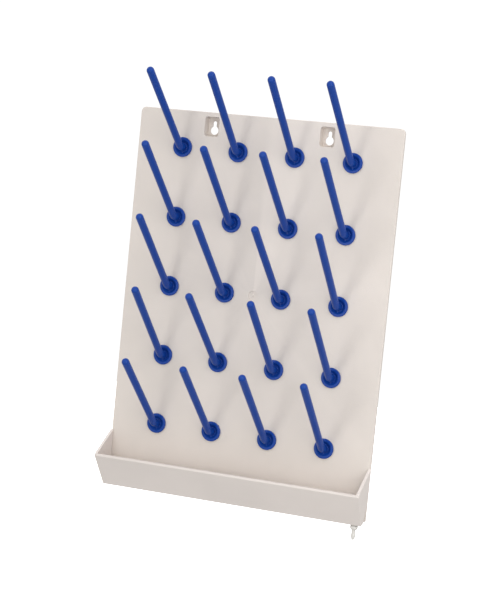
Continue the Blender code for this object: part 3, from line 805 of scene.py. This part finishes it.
def multiply(nodes, links, first, second):
    """The product of two node outputs."""
    product = nodes.new("ShaderNodeMath")
    product.operation = "MULTIPLY"
    links.new(first, product.inputs[0])
    links.new(second, product.inputs[1])
    return product.outputs["Value"]


def flow_pattern(nodes, links, place):
    """Streaks that fan out from the board's gate, and one paler fan that runs up and to the right from it."""
    apart = nodes.new("ShaderNodeSeparateXYZ")
    links.new(place, apart.inputs["Vector"])
    angle = nodes.new("ShaderNodeMath")
    angle.operation = "ARCTAN2"
    links.new(apart.outputs["X"], angle.inputs[0])
    links.new(apart.outputs["Z"], angle.inputs[1])
    in_face = nodes.new("ShaderNodeCombineXYZ")
    links.new(apart.outputs["X"], in_face.inputs["X"])
    links.new(apart.outputs["Z"], in_face.inputs["Z"])
    radial = nodes.new("ShaderNodeVectorMath")
    radial.operation = "NORMALIZE"
    links.new(in_face.outputs["Vector"], radial.inputs[0])
    streaks = add_noise(nodes, links, radial.outputs["Vector"], FLOW_SCALE, FLOW_DETAIL,
                        1 - FLOW_CONTRAST, 1 + FLOW_CONTRAST)
    fan = []
    for start, end in FLOW_FAN_EDGES:
        edge = nodes.new("ShaderNodeMapRange")
        edge.interpolation_type = "SMOOTHSTEP"
        edge.inputs["From Min"].default_value = radians(start)
        edge.inputs["From Max"].default_value = radians(end)
        links.new(angle.outputs["Value"], edge.inputs["Value"])
        fan.append(edge.outputs["Result"])
    gain = nodes.new("ShaderNodeMapRange")
    gain.inputs["To Min"].default_value = 1.0
    gain.inputs["To Max"].default_value = FLOW_FAN_GAIN
    links.new(multiply(nodes, links, *fan), gain.inputs["Value"])
    return multiply(nodes, links, streaks, gain.outputs["Result"])


def plastic(name, colour, roughness, specular=0.5, grain_turn=0.0, grain_stretch=1.0, flow=False):
    """A moulded plastic: its colour drifts along the grain and its gloss varies, under a fine texture.

    The grain runs along z turned by grain_turn about x. With flow, the board's flow streaks go over it.
    """
    material = bpy.data.materials.new(name)
    material.use_nodes = True
    nodes = material.node_tree.nodes
    links = material.node_tree.links
    shader = nodes["Principled BSDF"]
    shader.inputs["Specular IOR Level"].default_value = specular
    place = nodes.new("ShaderNodeTexCoord").outputs["Object"]
    grain = nodes.new("ShaderNodeMapping")
    grain.inputs["Rotation"].default_value = (grain_turn, 0.0, 0.0)
    links.new(place, grain.inputs["Vector"])
    along = nodes.new("ShaderNodeVectorMath")
    along.operation = "MULTIPLY"
    along.inputs[1].default_value = (grain_stretch, grain_stretch, 1.0)
    links.new(grain.outputs["Vector"], along.inputs[0])
    value = add_noise(nodes, links, along.outputs["Vector"], DRIFT_SCALE, DRIFT_DETAIL,
                      1 - DRIFT_CONTRAST, 1 + DRIFT_CONTRAST)
    if flow:
        value = multiply(nodes, links, value, flow_pattern(nodes, links, place))
    tint = nodes.new("ShaderNodeVectorMath")
    tint.operation = "SCALE"
    tint.inputs[0].default_value = colour
    links.new(value, tint.inputs["Scale"])
    links.new(tint.outputs["Vector"], shader.inputs["Base Color"])
    gloss = add_noise(nodes, links, place, GLOSS_SCALE, GLOSS_DETAIL,
                      (1 - GLOSS_CONTRAST) * roughness, (1 + GLOSS_CONTRAST) * roughness)
    links.new(gloss, shader.inputs["Roughness"])
    texture = add_noise(nodes, links, place, TEXTURE_SCALE, TEXTURE_DETAIL, 0.0, 1.0)
    bump = nodes.new("ShaderNodeBump")
    bump.inputs["Strength"].default_value = TEXTURE_STRENGTH
    bump.inputs["Distance"].default_value = TEXTURE_DEPTH
    links.new(texture, bump.inputs["Height"])
    links.new(bump.outputs["Normal"], shader.inputs["Normal"])
    return material


# Studio

def add_camera():
    """The camera: it looks at a point just in front of the board, from the right and a little above."""
    azimuth = radians(CAMERA_AZIMUTH)
    elevation = radians(CAMERA_ELEVATION)
    roll = radians(CAMERA_ROLL)
    back = Vector((sin(azimuth) * cos(elevation), -cos(azimuth) * cos(elevation), sin(elevation)))
    level = (-back).cross(Vector((0.0, 0.0, 1.0))).normalized()
    upright = level.cross(-back)
    right = cos(roll) * level + sin(roll) * upright
    above = cos(roll) * upright - sin(roll) * level
    target = Vector((CAMERA_TARGET_X, FRONT_Y - CAMERA_TARGET_IN_FRONT, CAMERA_TARGET_Z))
    data = bpy.data.cameras.new("camera")
    data.lens = CAMERA_LENS
    data.sensor_width = CAMERA_SENSOR
    camera = bpy.data.objects.new("camera", data)
    turn = Matrix((right, above, back)).transposed().to_4x4()
    camera.matrix_world = Matrix.Translation(target + back * CAMERA_DISTANCE) @ turn
    bpy.context.scene.collection.objects.link(camera)
    bpy.context.scene.camera = camera


def add_area_light(name, position, size, power):
    """A square area light that shines from its position towards the middle of the board's face."""
    data = bpy.data.lights.new(name, "AREA")
    data.size = size
    data.energy = power
    light = bpy.data.objects.new(name, data)
    light.location = position
    away = Vector(position) - Vector((0.0, FRONT_Y, 0.0))
    light.rotation_euler = away.to_track_quat("Z", "Y").to_euler()
    bpy.context.scene.collection.objects.link(light)


def add_world():
    """Soft light from all round, stronger from above, behind a plain white background."""
    world = bpy.data.worlds.new("studio")
    world.use_nodes = True
    nodes = world.node_tree.nodes
    links = world.node_tree.links
    place = nodes.new("ShaderNodeTexCoord")
    direction = nodes.new("ShaderNodeSeparateXYZ")
    links.new(place.outputs["Generated"], direction.inputs["Vector"])
    strength = nodes.new("ShaderNodeMapRange")
    strength.inputs["To Min"].default_value = WORLD_BASE
    strength.inputs["To Max"].default_value = WORLD_BASE + WORLD_ABOVE
    links.new(direction.outputs["Z"], strength.inputs["Value"])
    soft_light = nodes["Background"]
    soft_light.inputs["Color"].default_value = (1.0, 1.0, 1.0, 1.0)
    links.new(strength.outputs["Result"], soft_light.inputs["Strength"])
    white = nodes.new("ShaderNodeBackground")
    white.inputs["Color"].default_value = (1.0, 1.0, 1.0, 1.0)
    white.inputs["Strength"].default_value = BACKGROUND_WHITE
    path = nodes.new("ShaderNodeLightPath")
    mix = nodes.new("ShaderNodeMixShader")
    links.new(path.outputs["Is Camera Ray"], mix.inputs["Fac"])
    links.new(soft_light.outputs["Background"], mix.inputs[1])
    links.new(white.outputs["Background"], mix.inputs[2])
    links.new(mix.outputs["Shader"], nodes["World Output"].inputs["Surface"])
    bpy.context.scene.world = world


def add_floor():
    """The plain white floor of the studio, well below the rack."""
    material = bpy.data.materials.new("studio_floor")
    material.use_nodes = True
    shader = material.node_tree.nodes["Principled BSDF"]
    shader.inputs["Base Color"].default_value = (0.9, 0.9, 0.9, 1.0)
    shader.inputs["Emission Color"].default_value = (1.0, 1.0, 1.0, 1.0)
    shader.inputs["Emission Strength"].default_value = BACKGROUND_WHITE
    bm = bmesh.new()
    bmesh.ops.create_circle(bm, cap_ends=True, radius=FLOOR_RADIUS, segments=ROUND_SEGMENTS)
    floor = make_object("floor", bm)
    floor.location.z = FLOOR_Z
    floor.data.materials.append(material)
    floor.visible_diffuse = False
    floor.visible_glossy = False
    floor.visible_shadow = False


def main():
    board_plastic = plastic("board_plastic", BOARD_COLOUR, BOARD_ROUGHNESS, flow=True)
    # The trough's plastic is the board's made paler: painted light for the dimmer light that reaches the
    # trough.
    trough_plastic = plastic("trough_plastic", TROUGH_PAINTED_LIGHT_COLOUR, BOARD_ROUGHNESS)
    peg_plastic = plastic("peg_plastic", PEG_COLOUR, PEG_ROUGHNESS, specular=PEG_SPECULAR,
                          grain_turn=PEG_GRAIN_TURN, grain_stretch=PEG_GRAIN_STRETCH)
    spout_plastic = plastic("spout_plastic", SPOUT_COLOUR, SPOUT_ROUGHNESS)
    seal_rubber = plastic("seal_rubber", SEAL_COLOUR, SEAL_ROUGHNESS, specular=SEAL_SPECULAR)
    peg_nodes = sorted(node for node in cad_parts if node.startswith("peg_"))
    make_board([peg_place(node)[:2] for node in peg_nodes], board_plastic)
    make_trough(trough_plastic)
    make_spout(spout_plastic)
    make_seal(seal_rubber)
    make_pegs(peg_nodes, peg_plastic)
    add_camera()
    add_area_light("key", KEY_POSITION, KEY_SIZE, KEY_POWER)
    add_area_light("fill", FILL_POSITION, FILL_SIZE, FILL_POWER)
    add_area_light("side", SIDE_POSITION, SIDE_SIZE, SIDE_POWER)
    add_world()
    add_floor()
    bpy.context.scene.view_settings.view_transform = "Standard"


main()
